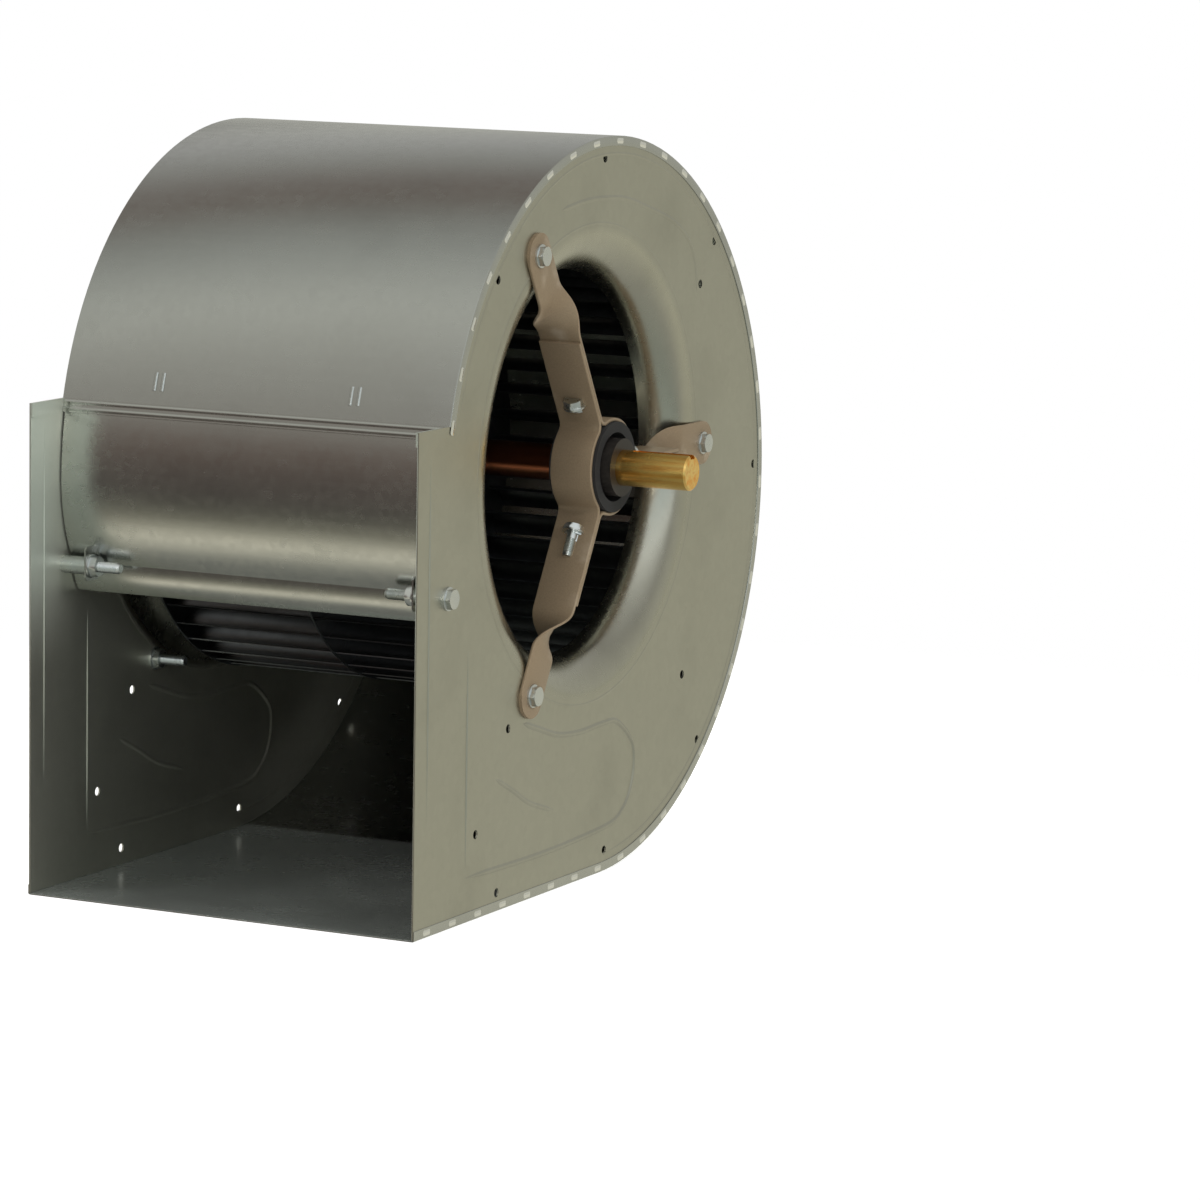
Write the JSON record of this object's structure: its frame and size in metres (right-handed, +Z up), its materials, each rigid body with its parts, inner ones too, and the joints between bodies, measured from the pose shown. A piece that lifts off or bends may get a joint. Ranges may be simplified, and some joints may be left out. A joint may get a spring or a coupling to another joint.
{
  "type": "double-inlet centrifugal blower",
  "caption": "Belt-driven double-inlet centrifugal blower: forward-curved wheel on a shaft in rubber-mounted ball bearings inside a galvanised scroll housing.",
  "frame": {"origin": "on the underside of the housing floor, straight below the middle of the shaft", "axes": "+X along the shaft to the drive side, outlet facing -Y, +Z up"},
  "size_m": [0.421, 0.538, 0.526],
  "materials": {
    "galvanised_panel": "spangled zinc, matt",
    "galvanised_wrapper": "smooth zinc, satin",
    "wheel_steel": "galvanised, satin",
    "strap_paint": "taupe enamel, satin",
    "zinc_hardware": "bright zinc plate",
    "isolator_rubber": "matt",
    "bearing_steel": "ground",
    "bearing_seal": "matt",
    "cage_brass": "satin",
    "black_oxide": "oiled black oxide",
    "shaft_steel": "turned and ground, amber rust-proofing film",
    "hub_iron": "turned"
  },
  "bodies": {
    "housing": {"side_panel_right": "galvanised_panel", "side_panel_left": "galvanised_panel", "scroll_wrapper": "galvanised_wrapper", "cutoff_plate": "galvanised_wrapper", "cutoff_spacers": "zinc_hardware", "cutoff_bolts": "zinc_hardware", "cutoff_nuts": "zinc_hardware", "strap_front_right": "strap_paint", "strap_upper_right": "strap_paint", "strap_lower_right": "strap_paint", "strap_front_left": "strap_paint", "strap_upper_left": "strap_paint", "strap_lower_left": "strap_paint", "foot_bolts_right": "zinc_hardware", "foot_bolts_left": "zinc_hardware", "foot_nuts_right": "zinc_hardware", "foot_nuts_left": "zinc_hardware", "clamp_bolts_right": "zinc_hardware", "clamp_bolts_left": "zinc_hardware", "clamp_nuts_right": "zinc_hardware", "clamp_nuts_left": "zinc_hardware", "isolator_right": "isolator_rubber", "isolator_left": "isolator_rubber", "bearing_outer_ring_right": "bearing_steel", "bearing_outer_ring_left": "bearing_steel", "bearing_seals_right": "bearing_seal", "bearing_seals_left": "bearing_seal"},
    "rotor": {"drive_shaft": "shaft_steel", "wheel_hub": "hub_iron", "hub_set_screws": "black_oxide", "hub_rivets": "zinc_hardware", "centre_disc": "wheel_steel", "blades_right": "wheel_steel", "blades_left": "wheel_steel", "end_ring_right": "wheel_steel", "end_ring_left": "wheel_steel", "bearing_inner_ring_right": "bearing_steel", "bearing_inner_ring_left": "bearing_steel", "locking_collar_right": "black_oxide", "locking_collar_left": "black_oxide", "collar_set_screws": "black_oxide"},
    "ball_set_right": {"bearing_balls_right": "bearing_steel", "bearing_cage_right": "cage_brass"},
    "ball_set_left": {"bearing_balls_left": "bearing_steel", "bearing_cage_left": "cage_brass"}
  },
  "joints": [
    {"name": "wheel_spin", "type": "hinge", "parent": "housing", "child": "rotor", "pos_m": [0, 0, 0.296], "axis": [-1, 0, 0], "continuous": true},
    {"name": "ball_set_right_spin", "type": "hinge", "parent": "housing", "child": "ball_set_right", "pos_m": [0.15325, 0, 0.296], "axis": [-1, 0, 0], "continuous": true},
    {"name": "ball_set_left_spin", "type": "hinge", "parent": "housing", "child": "ball_set_left", "pos_m": [-0.15325, 0, 0.296], "axis": [-1, 0, 0], "continuous": true}
  ],
  "couplings": [
    {"joint": "ball_set_right_spin", "follows": "wheel_spin", "ratio": 0.4},
    {"joint": "ball_set_left_spin", "follows": "wheel_spin", "ratio": 0.4}
  ]
}
